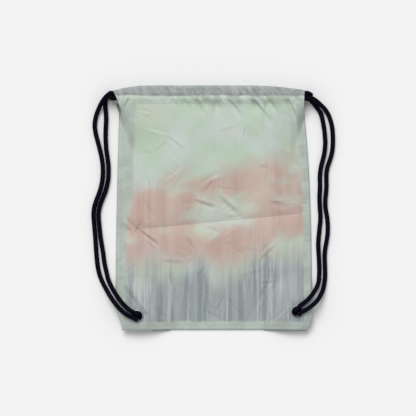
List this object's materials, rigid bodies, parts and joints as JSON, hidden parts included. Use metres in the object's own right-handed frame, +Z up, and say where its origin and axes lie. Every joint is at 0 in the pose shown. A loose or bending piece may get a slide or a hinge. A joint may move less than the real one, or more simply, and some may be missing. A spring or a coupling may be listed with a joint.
{
  "type": "drawstring backpack",
  "caption": "Flat cloth drawstring backpack lying on its back: stitched pocket, corded top casing, and shoulder cords that run to knotted eyelets at the lower corners.",
  "frame": {"origin": "on the floor under the middle of the bag's cloth", "axes": "+Y from the bottom seam to the mouth, +Z up through the printed side, +X to the right seen from above"},
  "size_m": [0.419, 0.4202, 0.0332],
  "materials": {
    "printed_polyester": "thin woven polyester with a pale washed print",
    "seam_polyester": "unprinted folded polyester",
    "braided_cord": "matt braided cord",
    "satin_nickel": "satin nickel plate"
  },
  "bodies": {
    "bag": {"back_panel": "printed_polyester", "front_panel_lower": "printed_polyester", "back_casing": "printed_polyester", "left_side_seam": "seam_polyester", "right_side_seam": "seam_polyester", "bottom_seam": "seam_polyester", "left_corner_patch": "seam_polyester", "right_corner_patch": "seam_polyester", "left_eyelet": "satin_nickel", "left_eyelet_washer": "satin_nickel", "right_eyelet": "satin_nickel", "right_eyelet_washer": "satin_nickel", "right_cord_back_run": "braided_cord", "right_cord_turn": "braided_cord", "left_inner_cord_lead": "braided_cord", "right_inner_cord_lead": "braided_cord", "left_outer_cord_end": "braided_cord", "left_inner_cord_end": "braided_cord", "right_outer_cord_end": "braided_cord", "right_inner_cord_end": "braided_cord", "left_knot": "braided_cord", "right_knot": "braided_cord", "left_outer_cord_tail": "braided_cord", "left_inner_cord_tail": "braided_cord", "right_outer_cord_tail": "braided_cord", "right_inner_cord_tail": "braided_cord"},
    "mouth_front": {"front_panel_upper": "printed_polyester", "front_casing": "printed_polyester", "right_cord_front_run": "braided_cord"},
    "left_drawcord": {"left_cord_back_run": "braided_cord", "left_cord_turn": "braided_cord"},
    "left_drawcord_front": {"left_cord_front_run": "braided_cord"},
    "left_outer_cord": {"left_outer_strand": "braided_cord"},
    "left_inner_cord": {"left_inner_strand": "braided_cord"},
    "right_outer_cord": {"right_outer_strand": "braided_cord"},
    "right_inner_cord": {"right_inner_strand": "braided_cord"}
  },
  "joints": [
    {"name": "mouth_open", "type": "hinge", "parent": "bag", "child": "mouth_front", "pos_m": [0, -0.025, 0.0142], "axis": [0.9955, 0.0953, 0], "range_deg": [0, 12]},
    {"name": "left_cord_draw", "type": "slide", "parent": "bag", "child": "left_drawcord", "axis": [1, 0, 0], "range_m": [0, 0.012]},
    {"name": "left_cord_front_draw", "type": "slide", "parent": "mouth_front", "child": "left_drawcord_front", "axis": [1, 0, 0], "range_m": [0, 0.012]},
    {"name": "left_outer_swing", "type": "hinge", "parent": "bag", "child": "left_outer_cord", "pos_m": [-0.1324, -0.1902, 0.0292], "axis": [-0.1143, 0.9933, -0.0196], "range_deg": [0, 75]},
    {"name": "left_inner_swing", "type": "hinge", "parent": "bag", "child": "left_inner_cord", "pos_m": [-0.1299, -0.1817, 0.0292], "axis": [-0.156, 0.9853, -0.069], "range_deg": [0, 75]},
    {"name": "right_outer_swing", "type": "hinge", "parent": "bag", "child": "right_outer_cord", "pos_m": [0.1458, -0.1813, 0.0292], "axis": [-0.0379, -0.9991, 0.0206], "range_deg": [0, 75]},
    {"name": "right_inner_swing", "type": "hinge", "parent": "bag", "child": "right_inner_cord", "pos_m": [0.1402, -0.1751, 0.0292], "axis": [-0.1322, -0.9884, 0.0742], "range_deg": [0, 75]}
  ],
  "couplings": [
    {"joint": "left_cord_front_draw", "follows": "left_cord_draw", "ratio": 1}
  ]
}
